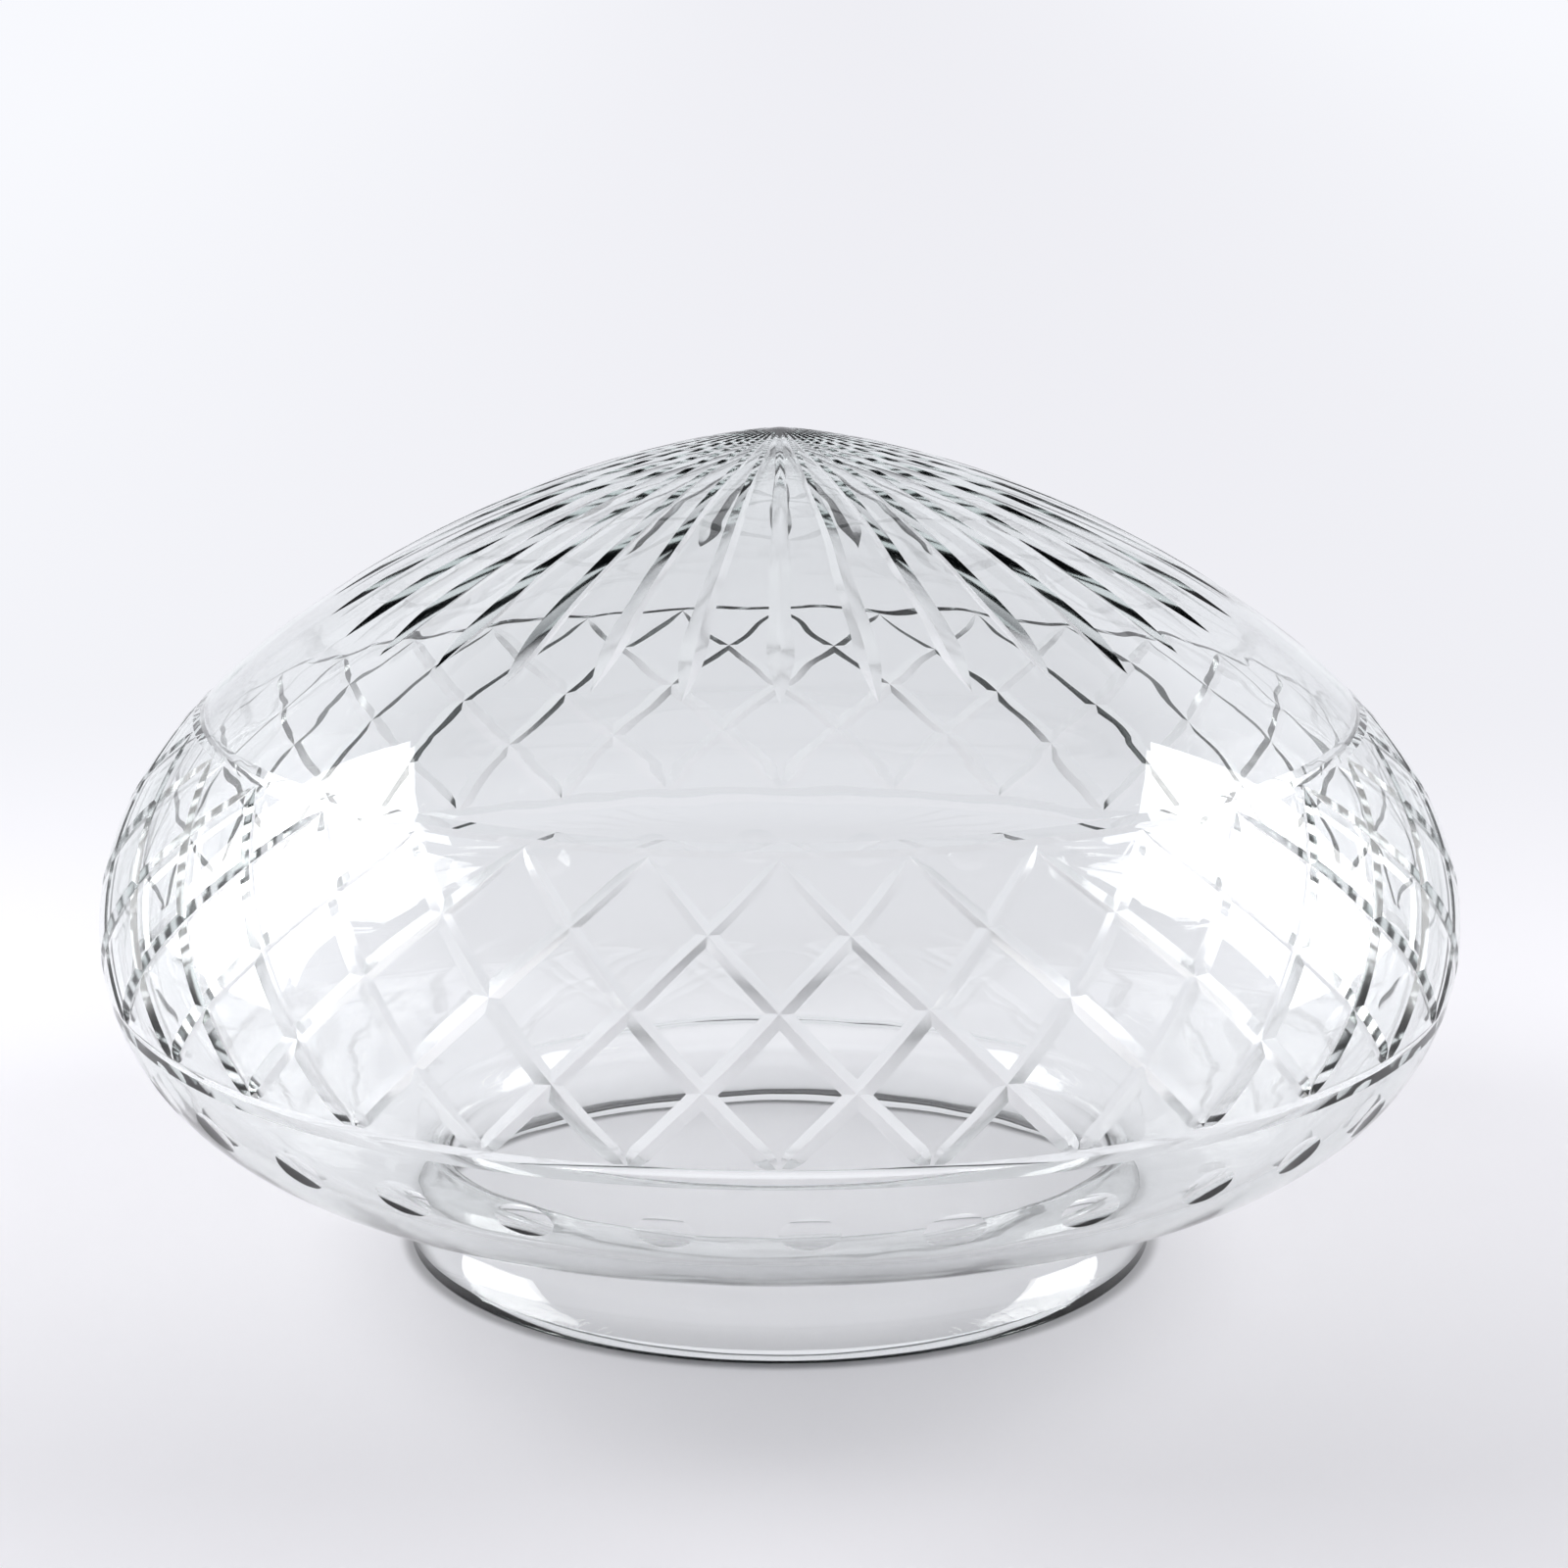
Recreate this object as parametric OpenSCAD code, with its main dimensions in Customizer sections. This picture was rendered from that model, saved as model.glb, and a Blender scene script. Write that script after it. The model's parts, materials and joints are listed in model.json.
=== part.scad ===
// Clear cut-glass lamp shade: a low pointed dome, a round belly and a short neck with a flared lip.
// It stands mouth down on its lip. The origin is the centre of the lip's ground face and +Z points
// up the axis to the apex. Millimetres.

/* [Body] */
// Largest diameter, around the belly
body_d = 269.2; // [268:0.2:271]
// Height of the largest diameter above the ground face of the lip
body_z = 68; // [67:0.5:69]
// Radius of the long arc of the dome
dome_r = 228; // [226:1:230]
// Radius of the upper shoulder arc
shoulder_r = 113; // [112:1:114]
// Radius of the lower shoulder arc
flank_r = 59; // [58:1:60]
// Radius of the belly arc, which runs down to the largest diameter
belly_r = 44; // [43:0.5:45]
// Radius of the arc under the largest diameter
under_r = 42.5; // [42:0.5:43]

/* [Wall] */
// Wall thickness of the belly and neck
wall_t = 3.5; // [3:0.1:3.8]
// How much smaller than an even offset the radius of the inner dome is, which thickens the apex
dome_thicken = 17; // [0:0.5:18]

/* [Neck] */
// Outside diameter of the lip
lip_d = 150; // [149:0.5:151]
// Height of the straight band of the lip
lip_h = 3; // [2.5:0.1:3.2]
// Outside diameter of the neck above the lip
neck_d = 142; // [141:0.5:143]
// Radius of the hollow curve between the lip and the neck
flare_r = 10; // [9.5:0.1:10.4]
// Radius of the hollow curve between the neck and the body
fillet_r = 6; // [5:0.1:6.5]
// Bevel of the lip's lower outside edge
lip_bevel = 0.4; // [0.2:0.1:0.6]

/* [Cuts] */
// Number of repeats of the cut pattern around the shade
repeats = 32; // [32]
// Opening angle of the wheel's edge that cuts the flutes and the rings, in degrees
mitre_angle = 140; // [136:1:144]
// Distance along the surface from the apex to the upper end of a flute
flute_start = 20; // [14:1:20]
// Distance along the surface from the apex to the place where a flute is deepest
flute_full = 81; // [78:0.5:84]
// Distance along the surface from the apex to the point of a flute
flute_end = 95.5; // [94:0.5:97]
// Width of a flute at its upper end
flute_top_w = 1.6; // [1:0.1:1.7]
// Greatest width of a flute
flute_w = 5; // [4:0.1:5.2]
// Distance along the surface from the apex to the top of the diamond band
band_start = 130; // [128:0.5:132]
// Length of the diamond band along the surface
band_len = 55; // [53:0.5:56]
// Opening angle of the wheel's edge that cuts the diamonds, in degrees
diamond_angle = 120; // [115:1:125]
// Depth of a diamond cut halfway down the band
diamond_depth = 1.0; // [0.8:0.05:1.1]
// Distance from the diamond band to the middle of the ring cut above or below it
ring_gap = 2.2; // [2.2:0.1:3]
// Width of a ring cut
ring_w = 3.8; // [3:0.1:3.8]
// Distance along the surface from the apex to the middle of the thumbprints
thumb_at = 200; // [198:0.5:202]
// Radius of the round wheel that cuts the thumbprints
thumb_wheel_r = 30; // [28:0.5:32]
// Depth of a thumbprint
thumb_depth = 0.65; // [0.5:0.05:0.8]

/* [Hidden] */
$fn = 96;
glass_color = [0.86, 0.92, 0.90, 0.55];
lip_r = lip_d / 2;
neck_r = neck_d / 2;
pitch = 360 / repeats;
mitre_spread = tan(mitre_angle / 2);
diamond_spread = tan(diamond_angle / 2);
flute_mid = (flute_start + flute_full) / 2;
flute_mid_w = 3.1;
flute_end_step = 0.15;
tool_clearance = 0.5;
diamond_run_on = 2;

// Slopes at which one arc turns into the next. Their sines and cosines are short decimals, so the
// points where the arcs meet are exact.
dome_end = asin(0.6);
shoulder_end = asin(0.8);
flank_end = asin(0.96);
belly_end = 90;
under_end = 180 - asin(0.28);

// Direction of the outward normal where the surface has this slope: [radial, up]
function normal_2d(slope) = [sin(slope), cos(slope)];
// Point of an arc [centre, radius, first slope, last slope] where the surface has this slope
function arc_point(arc, slope) = arc[0] + arc[1] * normal_2d(slope);
function arc_length(arc) = arc[1] * (arc[3] - arc[2]) * PI / 180;

// Centres of the arcs, each in line with its neighbour's centre and the point where they meet
belly_centre = [body_d / 2 - belly_r, body_z];
flank_centre = belly_centre - (flank_r - belly_r) * normal_2d(flank_end);
shoulder_centre = flank_centre - (shoulder_r - flank_r) * normal_2d(shoulder_end);
dome_centre = shoulder_centre - (dome_r - shoulder_r) * normal_2d(dome_end);
under_centre = [body_d / 2 - under_r, body_z];
outer_arcs = [
    [dome_centre, dome_r, asin(-dome_centre[0] / dome_r), dome_end],
    [shoulder_centre, shoulder_r, dome_end, shoulder_end],
    [flank_centre, flank_r, shoulder_end, flank_end],
    [belly_centre, belly_r, flank_end, belly_end],
    [under_centre, under_r, belly_end, under_end]];

// The inner dome has a smaller radius than an even offset would give, and joins the shoulder smoothly
inner_dome_r = dome_r - wall_t - dome_thicken;
inner_dome_centre = dome_centre + dome_thicken * normal_2d(dome_end);
inner_arcs = concat(
    [[inner_dome_centre, inner_dome_r, asin(-inner_dome_centre[0] / inner_dome_r), dome_end]],
    [for (i = [1:len(outer_arcs) - 1])
        [outer_arcs[i][0], outer_arcs[i][1] - wall_t, outer_arcs[i][2], outer_arcs[i][3]]]);

// The neck's two hollow curves, each given by the centre of its arc
flare_centre = [neck_r + flare_r, lip_h + sqrt(flare_r * flare_r - pow(neck_r + flare_r - lip_r, 2))];
under_foot = arc_point(outer_arcs[4], under_end);
fillet_centre = [neck_r + fillet_r,
    under_foot[1] - (under_foot[0] - neck_r - fillet_r) * tan(180 - under_end)
    + fillet_r / cos(under_end)];

// Place on the outer surface at a distance from the apex along it: [radius, height, slope]
function surface_at(distance, i = 0) =
    distance <= arc_length(outer_arcs[i]) || i == len(outer_arcs) - 1
    ? let(slope = outer_arcs[i][2] + distance / outer_arcs[i][1] * 180 / PI,
          p = arc_point(outer_arcs[i], slope)) [p[0], p[1], slope]
    : surface_at(distance - arc_length(outer_arcs[i]), i + 1);

// The same place in space, turned around the axis and sunk below the surface
function cut_point(distance, turn, depth = 0) =
    let(place = surface_at(distance), p = [place[0], place[1]] - depth * normal_2d(place[2]))
    [p[0] * sin(turn), -p[0] * cos(turn), p[1]];

function unit(v) = v / norm(v);

// Half of a solid of revolution bounded by a row of arcs, a straight cone, the fillet, the neck and
// the flare. The inside of the glass is the same shape, one wall thickness smaller.
module half_section(arcs, inset, mouth) {
    hub = [0, body_z];
    reach = 2;
    difference() {
        union() {
            for (arc = arcs) {
                rays = [for (f = [0, 0.5, 1]) arc_point(arc, arc[2] + f * (arc[3] - arc[2])) - hub];
                intersection() {
                    translate(arc[0]) circle(arc[1]);
                    polygon(concat([hub], [for (ray = rays) hub + reach * ray]));
                }
            }
            polygon(concat([[0, mouth[0][1]]], mouth,
                [flare_centre, [neck_r - inset, flare_centre[1]], [neck_r - inset, fillet_centre[1]],
                 fillet_centre, fillet_centre - (fillet_r + inset) * normal_2d(under_end)],
                [for (i = [len(arcs) - 1:-1:0]) arc_point(arcs[i], arcs[i][3])],
                [arc_point(arcs[0], arcs[0][2])]));
        }
        translate(fillet_centre) circle(fillet_r + inset);
        translate(flare_centre) circle(flare_r + inset);
    }
}

// The triangle that the mitre wheel takes out of the section where it cuts a ring
module ring_notch(distance) {
    place = surface_at(distance);
    normal = normal_2d(place[2]);
    along = [normal[1], -normal[0]];
    depth = ring_w / 2 / mitre_spread;
    half_w = (depth + 1) * mitre_spread;
    p = [place[0], place[1]];
    polygon([p - depth * normal, p + normal + half_w * along, p + normal - half_w * along]);
}

module blown_shell() {
    rotate_extrude() {
        difference() {
            half_section(outer_arcs, 0, [[lip_r - lip_bevel, 0], [lip_r, lip_bevel], [lip_r, lip_h]]);
            half_section(inner_arcs, wall_t, [[flare_centre[0], -1]]);
            ring_notch(band_start - ring_gap);
            ring_notch(band_start + band_len + ring_gap);
        }
    }
}

// Moves a tool into the frame given by its origin and its x and z directions
module in_frame(origin, x, z) {
    y = cross(z, x);
    multmatrix([[x[0], y[0], z[0], origin[0]], [x[1], y[1], z[1], origin[1]],
        [x[2], y[2], z[2], origin[2]], [0, 0, 0, 1]])
        children();
}

// Groove of a wheel that is rolled along the arc through three points, and on past both ends by an
// angle. The tool stands up from the bottom of the groove by its height, and each of its flanks
// spreads sideways by the given share of that height.
module rolled_cut(first, middle, last, run_on, tool_h, spread) {
    u = middle - first;
    v = last - first;
    w = cross(u, v);
    centre = first + cross(w, (v * v) * u - (u * u) * v) / (2 * (w * w));
    r = norm(first - centre);
    sweep = 2 * asin(norm(v) / 2 / r);
    half_w = tool_h * spread;
    in_frame(centre, unit(first - centre), unit(w))
        rotate_extrude(angle = sweep + 2 * run_on, start = -run_on)
        polygon([[r, 0], [r + tool_h, half_w], [r + tool_h, -half_w]]);
}

// Depth of a flute or ring of this width
function groove_depth(width) = width / 2 / mitre_spread;

// A flute is rolled down the dome, deeper and deeper, as far as its widest place
module flute(turn) {
    rolled_cut(cut_point(flute_start, turn, groove_depth(flute_top_w)),
        cut_point(flute_mid, turn, groove_depth(flute_mid_w)),
        cut_point(flute_full, turn, groove_depth(flute_w)),
        0, groove_depth(flute_w) + tool_clearance, mitre_spread);
}

// From its widest place a flute runs out of the surface to a point, in a straight line
module flute_point(turn) {
    tool_h = 2 * groove_depth(flute_w);
    half_w = tool_h * mitre_spread;
    first = cut_point(flute_full - 1, turn, groove_depth(flute_w) - flute_end_step);
    along = cut_point(flute_end, turn) - first;
    in_frame(first, unit(cross([0, 0, 1], along)), unit(along))
        linear_extrude(norm(along) + 1)
        polygon([[0, 0], [half_w, -tool_h], [-half_w, -tool_h]]);
}

// One cut of the diamond band. It leans to one side by two repeats of the pattern.
module diamond_cut(turn, lean) {
    rolled_cut(cut_point(band_start, turn),
        cut_point(band_start + band_len / 2, turn + lean * pitch, diamond_depth),
        cut_point(band_start + band_len, turn + 2 * lean * pitch),
        diamond_run_on, diamond_depth + 2 * tool_clearance, diamond_spread);
}

module thumbprint(turn) {
    translate(cut_point(thumb_at, turn, thumb_depth - thumb_wheel_r)) sphere(thumb_wheel_r);
}

// Each kind of cut is taken in its own pass, so that no two tools of one pass meet in the glass
module glass_shade() {
    turns = [for (i = [0:repeats - 1]) i * pitch];
    color(glass_color)
        difference() {
            difference() {
                difference() {
                    difference() {
                        difference() {
                            blown_shell();
                            for (turn = turns) thumbprint(turn);
                        }
                        for (turn = turns) diamond_cut(turn, 1);
                    }
                    for (turn = turns) diamond_cut(turn, -1);
                }
                for (turn = turns) flute(turn);
            }
            for (turn = turns) flute_point(turn);
        }
}

glass_shade();
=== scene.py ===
"""Looks of a clear cut-glass lamp shade: a blown shell with wheel-cut flutes, rings, diamonds and
thumbprints, standing mouth down on a pale floor. Metres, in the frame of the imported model."""

import json
import math
import random

import bpy
import bmesh
import numpy as np
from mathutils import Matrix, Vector


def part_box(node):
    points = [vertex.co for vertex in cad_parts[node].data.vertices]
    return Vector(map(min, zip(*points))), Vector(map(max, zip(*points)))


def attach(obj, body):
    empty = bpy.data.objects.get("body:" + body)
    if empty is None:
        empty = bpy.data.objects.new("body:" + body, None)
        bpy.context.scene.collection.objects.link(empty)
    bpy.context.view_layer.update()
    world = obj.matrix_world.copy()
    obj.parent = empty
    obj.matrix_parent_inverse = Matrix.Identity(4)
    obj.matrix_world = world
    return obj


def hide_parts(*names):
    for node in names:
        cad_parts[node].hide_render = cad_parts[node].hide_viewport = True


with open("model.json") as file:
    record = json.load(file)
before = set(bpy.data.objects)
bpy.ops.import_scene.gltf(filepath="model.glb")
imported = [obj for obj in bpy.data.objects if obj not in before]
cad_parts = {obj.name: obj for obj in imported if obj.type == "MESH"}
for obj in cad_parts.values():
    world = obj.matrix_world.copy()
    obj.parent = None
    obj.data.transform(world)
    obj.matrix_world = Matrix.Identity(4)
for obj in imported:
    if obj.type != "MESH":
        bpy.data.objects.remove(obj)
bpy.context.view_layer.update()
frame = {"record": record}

NODE = "glass_shade"
MM = 0.001
rng = random.Random(32)

# ---------------------------------------------------------------- dimensions
lowest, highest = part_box(NODE)
mount_dims = {mount["name"]: mount["dims"] for mount in frame["record"]["mounts"]}
LIP_R = mount_dims["fitter_lip"]["r_mm"] * MM
THROAT_R = mount_dims["throat"]["r_mm"] * MM
BODY_R = highest.x
FLOOR_Z = lowest.z

WALL = 3.5 * MM
NECK_R = THROAT_R + WALL
# Height of the widest place
BODY_Z = 68 * MM
# Radii of the section's outer arcs, from the apex down
DOME_R, SHOULDER_R, FLANK_R, BELLY_R, UNDER_R = 228 * MM, 113 * MM, 59 * MM, 44 * MM, 42.5 * MM
# How much tighter the dome curves inside than an even wall would, which makes the apex thicker
DOME_THICKEN = 17 * MM
# The lip's height and the rounding at its foot, the flare above it and the fillet under the belly
LIP_H = 3 * MM
LIP_ROUND = 1.1 * MM
FLARE_R = 10 * MM
FILLET_R = 6 * MM

# How often the pattern repeats around the shade
REPEATS = 32
PITCH = 2 * math.pi / REPEATS
# Half opening angles of the wheel's edge: for the flutes and diamonds, and for the flatter rings
MITRE_HALF = math.radians(70)
RING_HALF = math.radians(78)
# Distances along the surface from the apex
FLUTE_START, FLUTE_END = 2.2 * MM, 95.7 * MM
BAND_START, BAND_LEN = 130 * MM, 55 * MM
# Distance from the apex and width of each ring cut
RINGS = [(128 * MM, 3.2 * MM), (186.8 * MM, 4 * MM)]
# Widths of a flute at some distances from the apex. It is widest at the last one.
FLUTE_WIDTH_AT = [0, 8 * MM, 34 * MM, 84 * MM]
FLUTE_WIDTHS = [0.3 * MM, 1.1 * MM, 2.5 * MM, 4.9 * MM]
# Width of a diamond cut at its top, and from this share of its length on
DIAMOND_TOP_W, DIAMOND_W, DIAMOND_FULL_AT = 2.5 * MM, 4 * MM, 0.7
# Over what length the wheel comes in at the start of a cut, and goes out at its end
FLUTE_RUN, DIAMOND_RUN = (3 * MM, 15 * MM), (5 * MM, 2 * MM)
# How far a cutter goes on past the start and the end of its cut, above the glass
FLUTE_PAST, DIAMOND_PAST = (0.5 * MM, 0.5 * MM), (1 * MM, 0.6 * MM)
# Thumbprints: their distance from the apex, the wheel's radius, their depth, and how far they are
# turned from the flutes
THUMB_AT, THUMB_WHEEL_R, THUMB_DEPTH = 200 * MM, 42 * MM, 0.48 * MM
THUMB_TURN = 0.22 * PITCH

# How far the hand strays from the pattern, from the least to the most. A thumbprint's turn is a
# share of the pitch and its depth a share of the depth.
FLUTE_START_STRAY, FLUTE_END_STRAY = (0, 1 * MM), (-1.2 * MM, 1.2 * MM)
FLUTE_WIDTH_STRAY, FLUTE_LEAN = (-0.3 * MM, 0.3 * MM), (-0.3 * MM, 0.3 * MM)
DIAMOND_START_STRAY, DIAMOND_END_STRAY = (-0.8 * MM, 0.2 * MM), (-0.4 * MM, 0.2 * MM)
DIAMOND_WIDTH_STRAY = (-0.2 * MM, 0.2 * MM)
THUMB_PLACE_STRAY = (-0.5 * MM, 0.5 * MM)
THUMB_TURN_STRAY, THUMB_DEPTH_STRAY = (-0.02, 0.02), (-0.08, 0.08)
# How much a cut drifts sideways and how much of its width it swells, and over what length
FLUTE_DRIFT, FLUTE_SWELL = (0.25 * MM, 70 * MM), (0.09, 60 * MM)
DIAMOND_DRIFT, DIAMOND_SWELL = (0.2 * MM, 50 * MM), (0.06, 50 * MM)
# Nearer to the axis than this, a flute's drift turns it no further
DRIFT_LEAST_R = 12 * MM

# Slopes at which one arc of the section turns into the next
DOME_END, SHOULDER_END, FLANK_END = math.asin(0.6), math.asin(0.8), math.asin(0.96)
BELLY_END, UNDER_END = math.pi / 2, math.pi - math.asin(0.28)

# How matt the cuts are left, as a share of the greatest roughness
FLUTE_MATT, DIAMOND_MATT = 0.6, 1.0

# How far a cutter stands out of the glass
CLEARANCE = 0.3 * MM

# Resolution of the blown shell and of the cutters
STEPS_AROUND = 256
ROW = 2 * MM
FLUTE_STEPS, DIAMOND_STEPS = 48, 40
# A thumbprint's cutter is a cap of the wheel, up to this angle from its middle
THUMB_RINGS, THUMB_SPOKES, THUMB_SPREAD = 9, 56, math.radians(11)
# Flutes of one group are far enough apart to be cut in one pass, also near the apex
FLUTE_GROUPS = 8

# Glass
GLASS_IOR = 1.52
GLASS_TINT, GLASS_DENSITY = (0.70, 0.80, 0.77), 26.0
# Height and fineness of the gentle waves in the glass
BLOWN_WAVES, WAVE_SCALE, WAVE_DETAIL = 0.3 * MM, 32.0, 1.5
# Roughness of the mattest cuts
GROUND_ROUGHNESS = 0.16

# Surroundings: a bright sweep under a dark ceiling
BACKDROP_TONE = (0.86, 0.86, 0.905)
# Brighter tone of painted light that the paper's glow takes on to both sides
BACKDROP_SIDE_TONE = (0.94, 0.95, 0.99)
CEILING_TONE = (0.02, 0.025, 0.03)
# Heights, as the upward share of a direction, where the sweep ends and where the ceiling is full
SWEEP_TOP, CEILING_EDGE = 0.42, 0.66
# How much higher the sweep reaches behind the shade
SWEEP_RISE = 0.2

# Paper that the shade stands on
PAPER_TONE, PAPER_ROUGHNESS = (0.60, 0.59, 0.61), 0.8
# How far it lies under the lip
PAPER_GAP = 0.1 * MM
# Where it starts to fade into the surroundings, where it has faded, and where it ends
FLOOR_LIT_R, FLOOR_FADE_R, FLOOR_R = 0.1, 0.55, 6.0
# Painted light and shade: the paper is darkest a little to the right of the axis, and from there
# painted light brightens it to both sides
DARKEST_X, SIDE_REACH, SIDE_PAINTED_LIGHT = 0.1, 0.7, 0.3
# How strongly the paper glows with painted light, as a share of the backdrop's tone, in front of
# the shade and behind it
PAINTED_LIGHT_FROM_Y, PAINTED_LIGHT_SHARES = (-0.2, 0.12), (0.27, 0.39)
# A painted shadow under the lip: how near the lip's foot the painted light is none, and how far off
# it is whole again
CONTACT_SHADOW_REACH = (1.2 * MM, 4 * MM)

# Power of each softbox for a square metre, over pi
SOFTBOX_GLOW = 6.0
# The right softbox, of which the left one is the mirror image: width and height, place and aim
SOFTBOX_SIZE = (0.6, 0.945)
SOFTBOX_PLACE = Vector((0.95, 0.124, 0.485))
SOFTBOX_TARGET = Vector((0.6 * BODY_R, -0.6 * BODY_R, 1.5 * BODY_Z))

# The camera stands in front of the shade and looks down by this angle
CAMERA_PLACE, CAMERA_PITCH, LENS = (0.0008, -0.7953, 0.2974), math.radians(14.425), 94.87
# How often light is followed from surface to surface
MOST_BOUNCES = 8


# ---------------------------------------------------------------- section of the shade
def normal_2d(slope):
    """Outward normal, as radial and up, where the surface has this slope."""
    return np.array([math.sin(slope), math.cos(slope)])


def arc(centre, radius, first, last):
    """An arc of the section from one slope to another."""
    return {"centre": np.array(centre), "r": radius, "first": first, "last": last}


def on_arc(a, slope):
    return a["centre"] + a["r"] * normal_2d(slope)


def arc_length(a):
    return a["r"] * (a["last"] - a["first"])


belly_centre = np.array([BODY_R - BELLY_R, BODY_Z])
flank_centre = belly_centre - (FLANK_R - BELLY_R) * normal_2d(FLANK_END)
shoulder_centre = flank_centre - (SHOULDER_R - FLANK_R) * normal_2d(SHOULDER_END)
dome_centre = shoulder_centre - (DOME_R - SHOULDER_R) * normal_2d(DOME_END)
under_centre = np.array([BODY_R - UNDER_R, BODY_Z])
OUTER_ARCS = [
    arc(dome_centre, DOME_R, math.asin(-dome_centre[0] / DOME_R), DOME_END),
    arc(shoulder_centre, SHOULDER_R, DOME_END, SHOULDER_END),
    arc(flank_centre, FLANK_R, SHOULDER_END, FLANK_END),
    arc(belly_centre, BELLY_R, FLANK_END, BELLY_END),
    arc(under_centre, UNDER_R, BELLY_END, UNDER_END),
]
# The inside is an even offset of the outside, apart from the dome
inner_dome_r = DOME_R - WALL - DOME_THICKEN
inner_dome_centre = dome_centre + DOME_THICKEN * normal_2d(DOME_END)
INNER_ARCS = [
    arc(inner_dome_centre, inner_dome_r, math.asin(-inner_dome_centre[0] / inner_dome_r), DOME_END)
] + [arc(a["centre"], a["r"] - WALL, a["first"], a["last"]) for a in OUTER_ARCS[1:]]

# The flare touches the neck and ends at the top of the lip
flare_centre = np.array(
    [NECK_R + FLARE_R, LIP_H + math.sqrt(FLARE_R**2 - (NECK_R + FLARE_R - LIP_R) ** 2)]
)
# The fillet touches the neck and the straight stretch that runs on from the belly
under_foot = on_arc(OUTER_ARCS[-1], UNDER_END)
fillet_r = NECK_R + FILLET_R
fillet_centre = np.array(
    [
        fillet_r,
        under_foot[1]
        - (under_foot[0] - fillet_r) * math.tan(math.pi - UNDER_END)
        + FILLET_R / math.cos(UNDER_END),
    ]
)


def surface_at(distance):
    """Point and slope of the outer surface at a distance from the apex along it."""
    for a in OUTER_ARCS:
        if distance <= arc_length(a) or a is OUTER_ARCS[-1]:
            slope = a["first"] + distance / a["r"]
            return on_arc(a, slope), slope
        distance -= arc_length(a)


def turned(p, turn):
    """A point of the section in space. Turn 0 is the front, and a turn goes to the right."""
    return np.array([p[0] * math.sin(turn), -p[0] * math.cos(turn), p[1]])


# ---------------------------------------------------------------- normals of each surface
# Every face of the glass remembers which of these it lies on, so that its shading normals are exact
surfaces = []
# How matt each groove side is left, by its place in that list
matt_shares = {}


def add_surface(normals_of):
    surfaces.append(normals_of)
    return len(surfaces) - 1


def revolved_arc(centre, side):
    """A surface turned from an arc. Side is 1 where the glass bulges and -1 where it is hollow."""

    def normals_of(p):
        r = np.maximum(np.hypot(p[:, 0], p[:, 1]), 1e-9)
        radial = side * (r - centre[0])
        up = side * (p[:, 2] - centre[1])
        n = np.stack([radial * p[:, 0] / r, radial * p[:, 1] / r, up], 1)
        return n / np.linalg.norm(n, axis=1)[:, None]

    return add_surface(normals_of)


def revolved_line(normal):
    """A surface turned from a straight stretch of the section."""

    def normals_of(p):
        r = np.maximum(np.hypot(p[:, 0], p[:, 1]), 1e-9)
        return np.stack(
            [normal[0] * p[:, 0] / r, normal[0] * p[:, 1] / r, np.full(len(p), normal[1])], 1
        )

    return add_surface(normals_of)


def ball_hollow(centre):
    """The hollow that a ball leaves."""

    def normals_of(p):
        n = centre - p
        return n / np.linalg.norm(n, axis=1)[:, None]

    return add_surface(normals_of)


def groove_side(path, up, across, side, matt):
    """One flank of a mitred groove. Its normal leans towards the other flank, and less so where the
    wheel's edge is more open."""
    starts, along = path[:-1], np.diff(path, axis=0)
    lengths = (along**2).sum(1)

    def normals_of(p):
        t = ((p[:, None] - starts) * along).sum(2) / lengths
        t = np.clip(t, 0, 1)
        gap = np.linalg.norm(p[:, None] - starts - t[:, :, None] * along, axis=2)
        k = gap.argmin(1)
        f = t[np.arange(len(p)), k][:, None]
        n = up[k] * (1 - f) + up[k + 1] * f
        s = across[k] * (1 - f) + across[k + 1] * f
        leaned = math.sin(MITRE_HALF) * n - side * math.cos(MITRE_HALF) * s
        return leaned / np.linalg.norm(leaned, axis=1)[:, None]

    matt_shares[len(surfaces)] = matt
    return add_surface(normals_of)


# ---------------------------------------------------------------- the blown shell
def arc_rows(a, first, last, side):
    """Rows of the section along an arc, each with the surface that the next band lies on."""
    surface = revolved_arc(a["centre"], side)
    count = max(2, math.ceil(abs(last - first) * a["r"] / ROW))
    slopes = np.linspace(first, last, count + 1)[:-1]
    return [(on_arc(a, slope), surface) for slope in slopes]


def outer_rows(start, end):
    """Rows of the outer surface between two distances from the apex."""
    rows = []
    passed = 0
    for a in OUTER_ARCS:
        first = max(start - passed, 0) / a["r"] + a["first"]
        last = min(a["first"] + (end - passed) / a["r"], a["last"])
        if last > first:
            rows += arc_rows(a, first, last, 1)
        passed += arc_length(a)
    return rows


def line_rows(p, q, count=1):
    """Rows of a straight stretch of the section, from p up to but without q."""
    along = (q - p) / np.linalg.norm(q - p)
    surface = revolved_line((-along[1], along[0]))
    return [(p + (q - p) * k / count, surface) for k in range(count)]


def ring_rows(distance, width):
    """Rows of a V cut around the shade."""
    edges = [surface_at(distance + side * width / 2)[0] for side in (-1, 1)]
    middle, slope = surface_at(distance)
    bottom = middle - width / 2 / math.tan(RING_HALF) * normal_2d(slope)
    return line_rows(edges[0], bottom, 2) + line_rows(bottom, edges[1], 2)


def direction_rows(centre, radius, first, last, side, count):
    """Rows along an arc of the neck or the lip, between two directions from its centre."""
    surface = revolved_arc(centre, side)
    return [
        (centre + radius * np.array([math.cos(d), math.sin(d)]), surface)
        for d in np.linspace(first, last, count + 1)[:-1]
    ]


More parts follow.
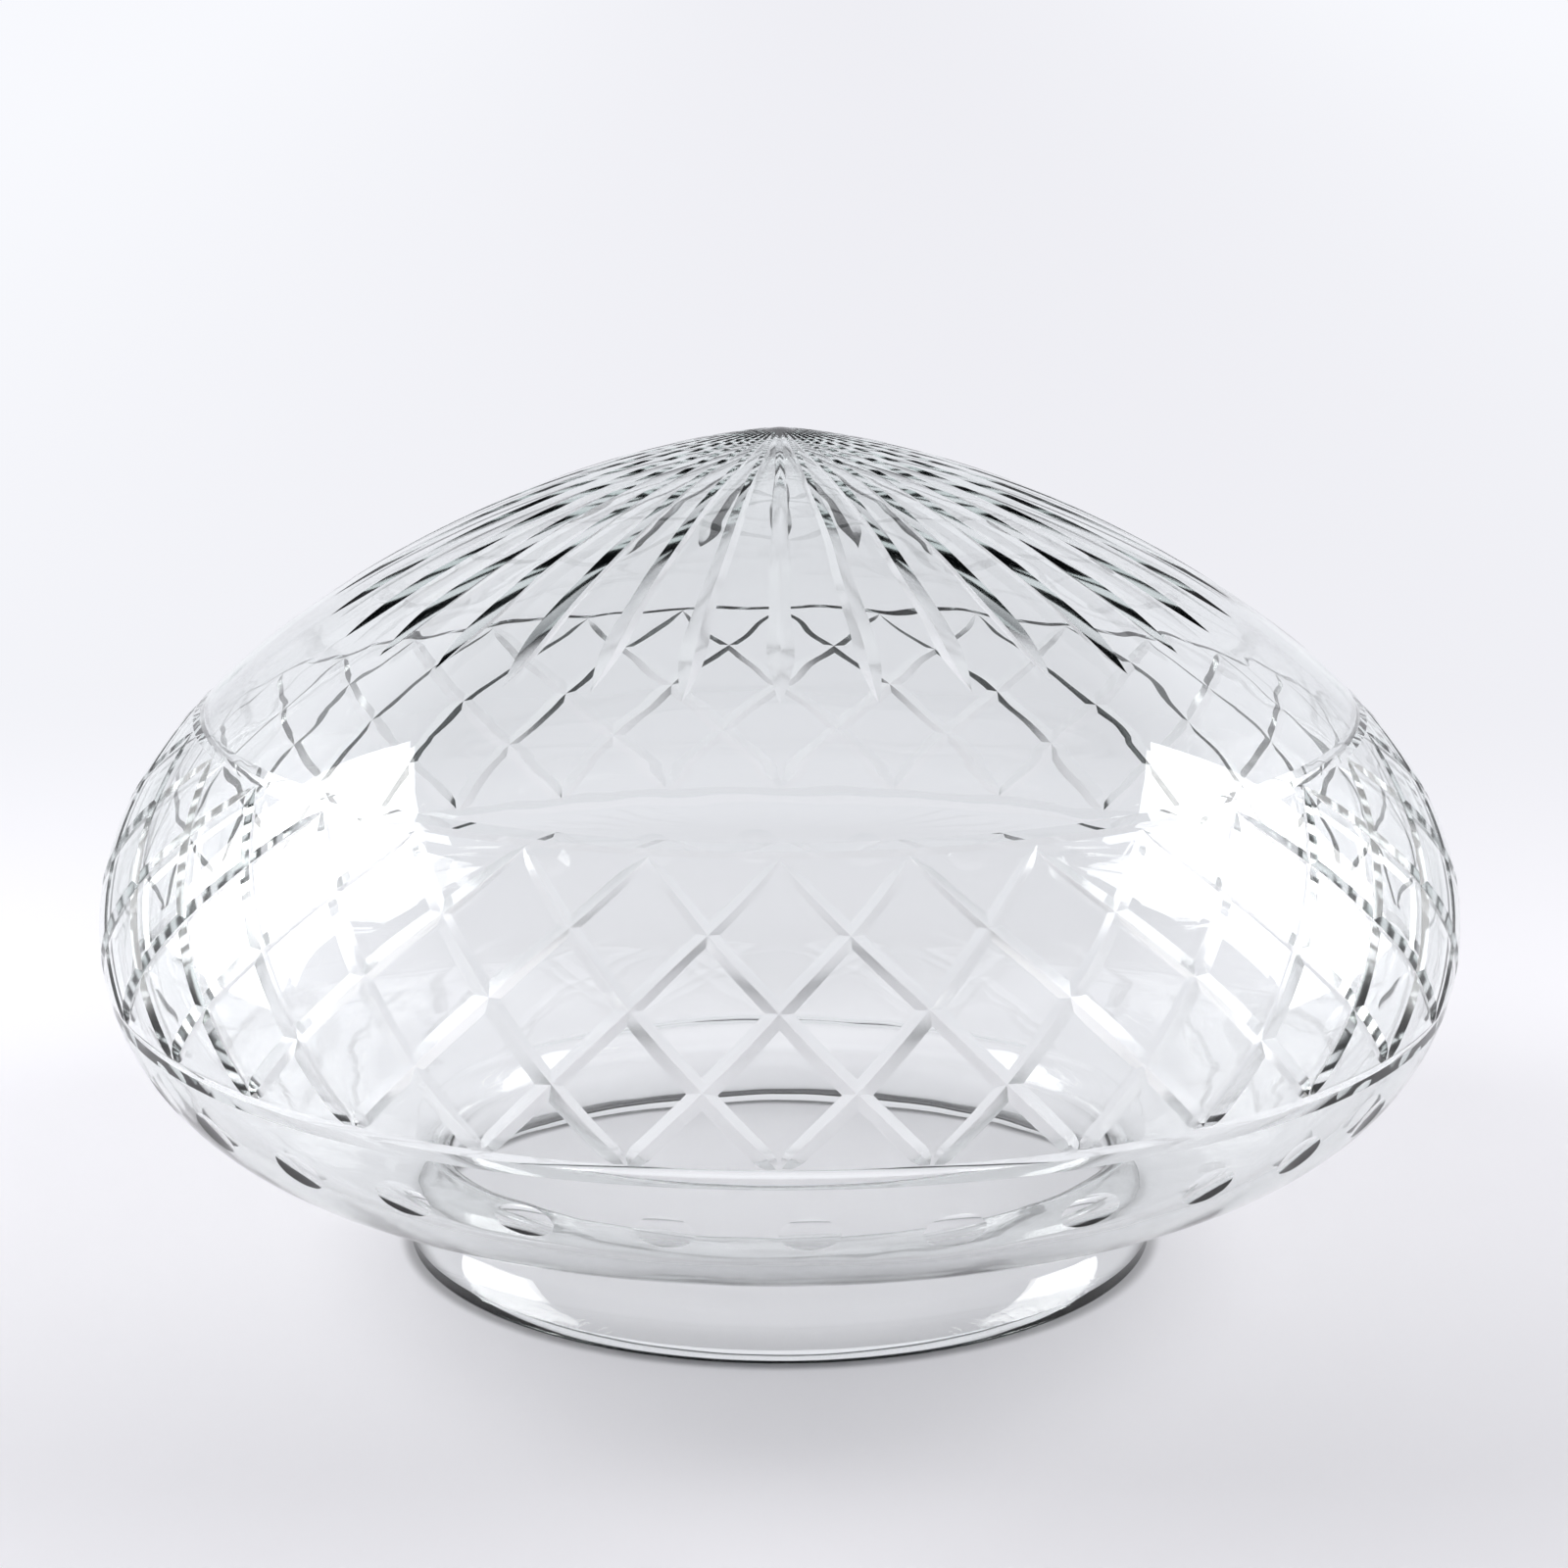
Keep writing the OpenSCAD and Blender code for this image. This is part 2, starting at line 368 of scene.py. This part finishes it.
def neck_rows_down():
    """Outer surface from the foot of the belly down to the lip's ground face."""
    fillet_first = math.pi / 2 + (math.pi - UNDER_END)
    lip_angle = math.acos((LIP_R - flare_centre[0]) / FLARE_R)
    foot = fillet_centre + FILLET_R * np.array([math.cos(fillet_first), math.sin(fillet_first)])
    lip_top = np.array([LIP_R, LIP_H])
    lip_side = np.array([LIP_R, LIP_ROUND])
    lip_foot = np.array([LIP_R - LIP_ROUND, 0])
    rows = line_rows(under_foot, foot, 4)
    rows += direction_rows(fillet_centre, FILLET_R, fillet_first, math.pi, -1, 10)
    rows += line_rows(
        np.array([NECK_R, fillet_centre[1]]), np.array([NECK_R, flare_centre[1]]), 3
    )
    rows += direction_rows(flare_centre, FLARE_R, math.pi, 2 * math.pi - lip_angle, -1, 8)
    rows += line_rows(lip_top, lip_side, 2)
    bevel_centre = np.array([LIP_R - LIP_ROUND, LIP_ROUND])
    rows += direction_rows(bevel_centre, LIP_ROUND, 0, -math.pi / 2, 1, 4)
    rows += line_rows(lip_foot, np.array([mouth_r(), 0]), 1)
    return rows


def mouth_r():
    """Radius at which the inside of the flare meets the ground face."""
    return flare_centre[0] - math.sqrt((FLARE_R + WALL) ** 2 - flare_centre[1] ** 2)


def neck_rows_up():
    """Inner surface from the ground face up to the belly."""
    reach = FLARE_R + WALL
    first = math.pi + math.asin(flare_centre[1] / reach)
    rows = direction_rows(flare_centre, reach, first, math.pi, 1, 8)
    rows += line_rows(
        np.array([THROAT_R, flare_centre[1]]), np.array([THROAT_R, fillet_centre[1]]), 3
    )
    reach = FILLET_R + WALL
    last = math.pi / 2 + (math.pi - UNDER_END)
    rows += direction_rows(fillet_centre, reach, math.pi, last, 1, 10)
    top = fillet_centre + reach * np.array([math.cos(last), math.sin(last)])
    rows += line_rows(top, on_arc(INNER_ARCS[-1], UNDER_END), 4)
    return rows


def section_rows():
    """The whole section from the outer apex, down, under the lip and up to the inner apex."""
    rows, start = [], 0
    for distance, width in RINGS:
        rows += outer_rows(start, distance - width / 2) + ring_rows(distance, width)
        start = distance + width / 2
    rows += outer_rows(start, sum(arc_length(a) for a in OUTER_ARCS))
    rows += neck_rows_down() + neck_rows_up()
    for a in reversed(INNER_ARCS):
        rows += arc_rows(a, a["last"], a["first"], -1)
    return rows


def mesh_from(name, verts, faces, sources):
    """A mesh whose faces each keep the number of the surface that they lie on."""
    mesh = bpy.data.meshes.new(name)
    mesh.from_pydata([tuple(v) for v in verts], [], faces)
    source = mesh.attributes.new("surface", "INT", "FACE")
    source.data.foreach_set("value", np.array(sources, np.int32))
    return mesh


def shell_mesh():
    """The section turned around the axis: the glass with its rings, before the other cuts."""
    rows = section_rows()
    inner_apex = on_arc(INNER_ARCS[0], INNER_ARCS[0]["first"])
    verts = [(0, 0, rows[0][0][1])]
    for p, _ in rows[1:]:
        for j in range(STEPS_AROUND):
            verts.append(turned(p, -2 * math.pi * (j + 0.5) / STEPS_AROUND))
    verts.append((0, 0, inner_apex[1]))
    last = len(verts) - 1

    def at(row, j):
        return 1 + (row - 1) * STEPS_AROUND + j % STEPS_AROUND

    faces, sources = [], []
    for j in range(STEPS_AROUND):
        faces.append((0, at(1, j + 1), at(1, j)))
        sources.append(rows[0][1])
        for row in range(1, len(rows) - 1):
            faces.append((at(row, j), at(row, j + 1), at(row + 1, j + 1), at(row + 1, j)))
            sources.append(rows[row][1])
        faces.append((at(len(rows) - 1, j), at(len(rows) - 1, j + 1), last))
        sources.append(rows[-1][1])
    return mesh_from("glass_shade_visual", verts, faces, sources)


# ---------------------------------------------------------------- the cutters
def wobble(amount, length):
    """A smooth random wander along a cut, as a hand-held piece of glass makes: three waves, each
    with one to three periods in the length."""
    turn = 2 * math.pi
    waves = [(rng.uniform(0.5, 1), rng.uniform(1, 3), rng.uniform(0, turn)) for _ in range(3)]
    return lambda s: amount / 2 * sum(a * math.sin(turn * k * s / length + b) for a, k, b in waves)


def groove_tool(path_points, matt):
    """A V-shaped cutter along a path of (distance from the apex, turn, depth of the groove).
    Returns its vertices, faces and surfaces."""
    path, ups, heights = [], [], []
    for distance, turn, depth in path_points:
        place, slope = surface_at(distance)
        path.append(turned(place - depth * normal_2d(slope), turn))
        ups.append(turned(normal_2d(slope), turn))
        heights.append(max(depth, 0) + CLEARANCE)
    path, ups = np.array(path), np.array(ups)
    along = np.gradient(path, axis=0)
    along /= np.linalg.norm(along, axis=1)[:, None]
    up = ups - (ups * along).sum(1)[:, None] * along
    up /= np.linalg.norm(up, axis=1)[:, None]
    across = np.cross(up, along)
    sides = [groove_side(path, up, across, side, matt) for side in (1, -1)]
    verts, faces, sources = [], [], []
    for k in range(len(path)):
        lift = path[k] + heights[k] * up[k]
        reach = heights[k] * math.tan(MITRE_HALF) * across[k]
        verts += [path[k], lift + reach, lift - reach]
    for k in range(len(path) - 1):
        b, p, m, b2, p2, m2 = range(3 * k, 3 * k + 6)
        faces += [(b, b2, p2, p), (b, m, m2, b2), (p, p2, m2, m)]
        sources += [sides[0], sides[1], sides[0]]
    end = 3 * (len(path) - 1)
    faces += [(0, 1, 2), (end, end + 2, end + 1)]
    sources += [sides[0], sides[1]]
    return verts, faces, sources


def run_out(s, start, end, lead_in, lead_out):
    """Share of the full depth at a place along a cut: the round wheel comes in and goes out."""
    rise = min((s - start - lead_in) / lead_in, 0)
    fall = max((s - end + lead_out) / lead_out, 0)
    return 1 - rise * rise - fall * fall


def flute_tool(i):
    """A flute runs from the apex down the dome, widens, and runs out to a point."""
    start = FLUTE_START + rng.uniform(*FLUTE_START_STRAY)
    end = FLUTE_END + rng.uniform(*FLUTE_END_STRAY)
    widths = FLUTE_WIDTHS[:-1] + [FLUTE_WIDTHS[-1] + rng.uniform(*FLUTE_WIDTH_STRAY)]
    drift = wobble(*FLUTE_DRIFT)
    swell = wobble(*FLUTE_SWELL)
    lean = rng.uniform(*FLUTE_LEAN)
    path = []
    for s in np.linspace(start - FLUTE_PAST[0], end + FLUTE_PAST[1], FLUTE_STEPS):
        width = np.interp(s, FLUTE_WIDTH_AT, widths)
        width *= (1 + swell(s)) * run_out(s, start, end, *FLUTE_RUN)
        turn = i * PITCH + (drift(s) + lean * s / end) / max(surface_at(s)[0][0], DRIFT_LEAST_R)
        path.append((s, turn, width / 2 / math.tan(MITRE_HALF)))
    return groove_tool(path, FLUTE_MATT)


def diamond_tool(i, lean):
    """One cut of the diamond band, from its top to its foot two repeats further round."""
    start = BAND_START + rng.uniform(*DIAMOND_START_STRAY)
    end = BAND_START + BAND_LEN + rng.uniform(*DIAMOND_END_STRAY)
    top_w = DIAMOND_TOP_W + rng.uniform(*DIAMOND_WIDTH_STRAY)
    full_w = DIAMOND_W + rng.uniform(*DIAMOND_WIDTH_STRAY)
    drift = wobble(*DIAMOND_DRIFT)
    swell = wobble(*DIAMOND_SWELL)
    path = []
    for s in np.linspace(start - DIAMOND_PAST[0], end + DIAMOND_PAST[1], DIAMOND_STEPS):
        f = (s - BAND_START) / BAND_LEN
        widened = math.sin(min(max(f, 0) / DIAMOND_FULL_AT, 1) * math.pi / 2)
        width = top_w + (full_w - top_w) * widened
        width *= (1 + swell(s)) * run_out(s, start, end, *DIAMOND_RUN)
        turn = (i + lean * 2 * f) * PITCH + drift(s) / surface_at(s)[0][0]
        path.append((s, turn, width / 2 / math.tan(MITRE_HALF)))
    return groove_tool(path, DIAMOND_MATT)


def thumb_tool(i):
    """A shallow cap of the round wheel, closed by a lid above the glass."""
    place, slope = surface_at(THUMB_AT + rng.uniform(*THUMB_PLACE_STRAY))
    turn = (i + rng.uniform(*THUMB_TURN_STRAY)) * PITCH + THUMB_TURN
    depth = THUMB_DEPTH * (1 + rng.uniform(*THUMB_DEPTH_STRAY))
    up = turned(normal_2d(slope), turn)
    side = np.array([math.cos(turn), math.sin(turn), 0])
    along = np.cross(up, side)
    centre = turned(place, turn) + (THUMB_WHEEL_R - depth) * up
    surface = ball_hollow(centre)
    verts, faces = [centre - THUMB_WHEEL_R * up], []
    for k in range(1, THUMB_RINGS + 1):
        a = THUMB_SPREAD * k / THUMB_RINGS
        for j in range(THUMB_SPOKES):
            b = 2 * math.pi * j / THUMB_SPOKES
            out = math.cos(b) * side + math.sin(b) * along
            verts.append(centre + THUMB_WHEEL_R * (math.sin(a) * out - math.cos(a) * up))
    for j in range(THUMB_SPOKES):
        n = (j + 1) % THUMB_SPOKES
        faces.append((0, 1 + j, 1 + n))
        for k in range(THUMB_RINGS - 1):
            low, high = 1 + k * THUMB_SPOKES, 1 + (k + 1) * THUMB_SPOKES
            faces.append((low + j, high + j, high + n, low + n))
    faces.append(tuple(1 + (THUMB_RINGS - 1) * THUMB_SPOKES + j for j in range(THUMB_SPOKES)))
    return verts, faces, [surface] * len(faces)


def joined(tools):
    """Several cutters as one closed mesh with outward faces."""
    verts, faces, sources = [], [], []
    for tool_verts, tool_faces, tool_sources in tools:
        first = len(verts)
        verts += tool_verts
        faces += [tuple(first + v for v in face) for face in tool_faces]
        sources += tool_sources
    mesh = mesh_from("cutter", verts, faces, sources)
    work = bmesh.new()
    work.from_mesh(mesh)
    bmesh.ops.recalc_face_normals(work, faces=work.faces)
    work.to_mesh(mesh)
    work.free()
    return mesh


def link(name, mesh):
    piece = bpy.data.objects.new(name, mesh)
    bpy.context.scene.collection.objects.link(piece)
    return piece


def cut(piece, tools):
    """Takes the cutters out of the glass. No two of them may meet."""
    cutter = link("cutter", joined(tools))
    boolean = piece.modifiers.new("cut", "BOOLEAN")
    boolean.object = cutter
    boolean.operation = "DIFFERENCE"
    boolean.solver = "MANIFOLD"
    depsgraph = bpy.context.evaluated_depsgraph_get()
    result = bpy.data.meshes.new_from_object(piece.evaluated_get(depsgraph))
    piece.modifiers.clear()
    old, cutter_mesh = piece.data, cutter.data
    piece.data = result
    bpy.data.objects.remove(cutter)
    bpy.data.meshes.remove(old)
    bpy.data.meshes.remove(cutter_mesh)


def shade_exactly(mesh):
    """Gives every corner the true normal of the surface that its face lies on."""
    count = len(mesh.loops)
    corner_vert = np.empty(count, np.int32)
    mesh.loops.foreach_get("vertex_index", corner_vert)
    points = np.empty(len(mesh.vertices) * 3, np.float32)
    mesh.vertices.foreach_get("co", points)
    points = points.reshape(-1, 3).astype(float)[corner_vert]
    source = np.empty(len(mesh.polygons), np.int32)
    mesh.attributes["surface"].data.foreach_get("value", source)
    totals = np.empty(len(mesh.polygons), np.int32)
    mesh.polygons.foreach_get("loop_total", totals)
    corner_source = np.repeat(source, totals)
    normals = np.zeros((count, 3))
    for k in np.unique(corner_source):
        chosen = corner_source == k
        normals[chosen] = surfaces[k](points[chosen])
    mesh.shade_smooth()
    mesh.normals_split_custom_set(normals)


def mark_ground(mesh):
    """Marks the faces that the wheel has cut, which are a little less smooth than blown glass."""
    source = np.empty(len(mesh.polygons), np.int32)
    mesh.attributes["surface"].data.foreach_get("value", source)
    shares = np.array([matt_shares.get(k, 0) for k in range(len(surfaces))], np.float32)
    marks = mesh.attributes.new("ground", "FLOAT", "FACE")
    marks.data.foreach_set("value", shares[source])


def build_shade():
    piece = link("cut_glass_shade", shell_mesh())
    cut(piece, [thumb_tool(i) for i in range(REPEATS)])
    for lean in (1, -1):
        cut(piece, [diamond_tool(i, lean) for i in range(REPEATS)])
    flutes = [flute_tool(i) for i in range(REPEATS)]
    for group in range(FLUTE_GROUPS):
        cut(piece, flutes[group::FLUTE_GROUPS])
    shade_exactly(piece.data)
    mark_ground(piece.data)
    piece.data.materials.clear()
    piece.data.materials.append(clear_glass())
    return piece


# ---------------------------------------------------------------- materials
def new_material(name):
    material = bpy.data.materials.new(name)
    material.use_nodes = True
    return material, material.node_tree.nodes, material.node_tree.links


def smooth_range(nodes, links, value, source, target):
    """The value mapped from one range to another with a smooth step. Returns the output socket."""
    node = nodes.new("ShaderNodeMapRange")
    node.interpolation_type = "SMOOTHSTEP"
    node.inputs["From Min"].default_value, node.inputs["From Max"].default_value = source
    node.inputs["To Min"].default_value, node.inputs["To Max"].default_value = target
    links.new(value, node.inputs["Value"])
    return node.outputs["Result"]


def combined(nodes, links, operation, first, second):
    """Two values joined by a maths node. Each is an output socket or a plain number."""
    node = nodes.new("ShaderNodeMath")
    node.operation = operation
    for socket, value in zip(node.inputs, (first, second)):
        if isinstance(value, (int, float)):
            socket.default_value = value
        else:
            links.new(value, socket)
    return node.outputs["Value"]


def mixed_tone(nodes, links, share, first, second):
    """The first colour turned into the second by a share from 0 to 1. Returns the output socket."""
    node = nodes.new("ShaderNodeMix")
    node.data_type = "RGBA"
    node.inputs["A"].default_value = (*first, 1)
    node.inputs["B"].default_value = (*second, 1)
    links.new(share, node.inputs["Factor"])
    return node.outputs["Result"]


def clear_glass():
    material, nodes, links = new_material("clear_glass")
    shader = nodes["Principled BSDF"]
    shader.inputs["Base Color"].default_value = (1, 1, 1, 1)
    shader.inputs["IOR"].default_value = GLASS_IOR
    shader.inputs["Transmission Weight"].default_value = 1.0
    volume = nodes.new("ShaderNodeVolumeAbsorption")
    volume.inputs["Color"].default_value = (*GLASS_TINT, 1)
    volume.inputs["Density"].default_value = GLASS_DENSITY
    links.new(volume.outputs["Volume"], nodes["Material Output"].inputs["Volume"])
    coords = nodes.new("ShaderNodeTexCoord")
    waves = nodes.new("ShaderNodeTexNoise")
    waves.inputs["Scale"].default_value = WAVE_SCALE
    waves.inputs["Detail"].default_value = WAVE_DETAIL
    bump = nodes.new("ShaderNodeBump")
    bump.inputs["Strength"].default_value = 1.0
    bump.inputs["Distance"].default_value = BLOWN_WAVES
    links.new(coords.outputs["Object"], waves.inputs["Vector"])
    links.new(waves.outputs["Fac"], bump.inputs["Height"])
    links.new(bump.outputs["Normal"], shader.inputs["Normal"])
    marks = nodes.new("ShaderNodeAttribute")
    marks.attribute_name = "ground"
    roughness = combined(nodes, links, "MULTIPLY", marks.outputs["Fac"], GROUND_ROUGHNESS)
    links.new(roughness, shader.inputs["Roughness"])
    return material


def paper():
    """Pale paper, lit near the shade and glowing there with painted light and a painted shadow
    under the lip, that blends into the bright surroundings further out.
    """
    material, nodes, links = new_material("floor_paper")
    shader = nodes["Principled BSDF"]
    shader.inputs["Base Color"].default_value = (*PAPER_TONE, 1)
    shader.inputs["Roughness"].default_value = PAPER_ROUGHNESS
    # The painted light on the paper glows in the backdrop's tone
    shader.inputs["Emission Color"].default_value = (*BACKDROP_TONE, 1)
    coords = nodes.new("ShaderNodeTexCoord")
    length = nodes.new("ShaderNodeVectorMath")
    length.operation = "LENGTH"
    links.new(coords.outputs["Object"], length.inputs[0])
    radius = length.outputs["Value"]
    fade = smooth_range(nodes, links, radius, (FLOOR_LIT_R, FLOOR_FADE_R), (0, 1))

    # Further out the paper glows like the surroundings, and painted light makes it brighter to both
    # sides
    split = nodes.new("ShaderNodeSeparateXYZ")
    links.new(coords.outputs["Object"], split.inputs["Vector"])
    aside = combined(nodes, links, "SUBTRACT", split.outputs["X"], DARKEST_X)
    aside = combined(nodes, links, "ABSOLUTE", aside, 0)
    side_light_share = smooth_range(nodes, links, aside, (0, SIDE_REACH), (0, 1))
    tone = mixed_tone(nodes, links, side_light_share, BACKDROP_TONE, BACKDROP_SIDE_TONE)
    glow = nodes.new("ShaderNodeEmission")
    links.new(tone, glow.inputs["Color"])

    # Painted light: the paper glows as if the surroundings lit it, more behind the shade and to its
    # sides, and a painted shadow keeps it dark under its lip
    painted_light = smooth_range(nodes, links, split.outputs["Y"], PAINTED_LIGHT_FROM_Y, PAINTED_LIGHT_SHARES)
    side_painted_light_gain = combined(nodes, links, "MULTIPLY", side_light_share, SIDE_PAINTED_LIGHT)
    painted_light = combined(nodes, links, "ADD", painted_light, side_painted_light_gain)
    # Painted shadow: the paper's painted light fades out near the lip's foot
    from_lip = combined(nodes, links, "SUBTRACT", radius, LIP_R - LIP_ROUND)
    from_lip = combined(nodes, links, "ABSOLUTE", from_lip, 0)
    contact_shadow_share = smooth_range(nodes, links, from_lip, CONTACT_SHADOW_REACH, (0, 1))
    painted_light_strength = combined(nodes, links, "MULTIPLY", painted_light, contact_shadow_share)
    links.new(painted_light_strength, shader.inputs["Emission Strength"])

    mix = nodes.new("ShaderNodeMixShader")
    links.new(fade, mix.inputs["Fac"])
    links.new(shader.outputs["BSDF"], mix.inputs[1])
    links.new(glow.outputs["Emission"], mix.inputs[2])
    links.new(mix.outputs["Shader"], nodes["Material Output"].inputs["Surface"])
    return material


# ---------------------------------------------------------------- stage, light and camera
def build_floor():
    mesh = bpy.data.meshes.new("floor")
    z = FLOOR_Z - PAPER_GAP
    signs = [(-1, -1), (1, -1), (1, 1), (-1, 1)]
    mesh.from_pydata([(x * FLOOR_R, y * FLOOR_R, z) for x, y in signs], [], [(0, 1, 2, 3)])
    mesh.materials.append(paper())
    floor = link("floor", mesh)


def build_world():
    world = bpy.data.worlds.new("studio")
    bpy.context.scene.world = world
    world.use_nodes = True
    nodes, links = world.node_tree.nodes, world.node_tree.links
    coords = nodes.new("ShaderNodeTexCoord")
    split = nodes.new("ShaderNodeSeparateXYZ")
    links.new(coords.outputs["Generated"], split.inputs["Vector"])

    # The sweep gives way to the dark ceiling
    behind = combined(nodes, links, "MAXIMUM", split.outputs["Y"], 0)
    lowered = combined(nodes, links, "MULTIPLY", behind, SWEEP_RISE)
    height = combined(nodes, links, "SUBTRACT", split.outputs["Z"], lowered)
    ceiling_share = combined(nodes, links, "SUBTRACT", height, SWEEP_TOP)
    ceiling_share = combined(nodes, links, "DIVIDE", ceiling_share, CEILING_EDGE - SWEEP_TOP)
    tone = mixed_tone(nodes, links, ceiling_share, BACKDROP_TONE, CEILING_TONE)
    links.new(tone, nodes["Background"].inputs["Color"])
    nodes["Background"].inputs["Strength"].default_value = 1.0


def softbox(name, side):
    """A tall soft light beside the shade and a little behind it, aimed at its near shoulder.
    Side is -1 on the left and 1 on the right."""
    data = bpy.data.lights.new(name, "AREA")
    data.shape = "RECTANGLE"
    data.size, data.size_y = SOFTBOX_SIZE
    data.energy = SOFTBOX_GLOW * math.pi * data.size * data.size_y
    light = bpy.data.objects.new(name, data)
    bpy.context.scene.collection.objects.link(light)
    mirror = Vector((side, 1, 1))
    light.location = SOFTBOX_PLACE * mirror
    aim = SOFTBOX_TARGET * mirror - light.location
    light.rotation_euler = aim.to_track_quat("-Z", "Y").to_euler()
    light.visible_camera = False


def build_camera():
    data = bpy.data.cameras.new("camera")
    camera = bpy.data.objects.new("camera", data)
    bpy.context.scene.collection.objects.link(camera)
    data.lens = LENS
    data.sensor_width = 36
    camera.location = CAMERA_PLACE
    camera.rotation_euler = (math.pi / 2 - CAMERA_PITCH, 0, 0)
    data.clip_start, data.clip_end = 0.01, 50
    bpy.context.scene.camera = camera


build_camera()
shade = build_shade()
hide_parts(NODE)
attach(shade, "root")
build_floor()
build_world()
softbox("softbox_left", -1)
softbox("softbox_right", 1)

scene = bpy.context.scene
scene.view_settings.view_transform = "Standard"
scene.cycles.max_bounces = MOST_BOUNCES
scene.cycles.transmission_bounces = MOST_BOUNCES
scene.cycles.glossy_bounces = MOST_BOUNCES
scene.cycles.sample_clamp_indirect = 6
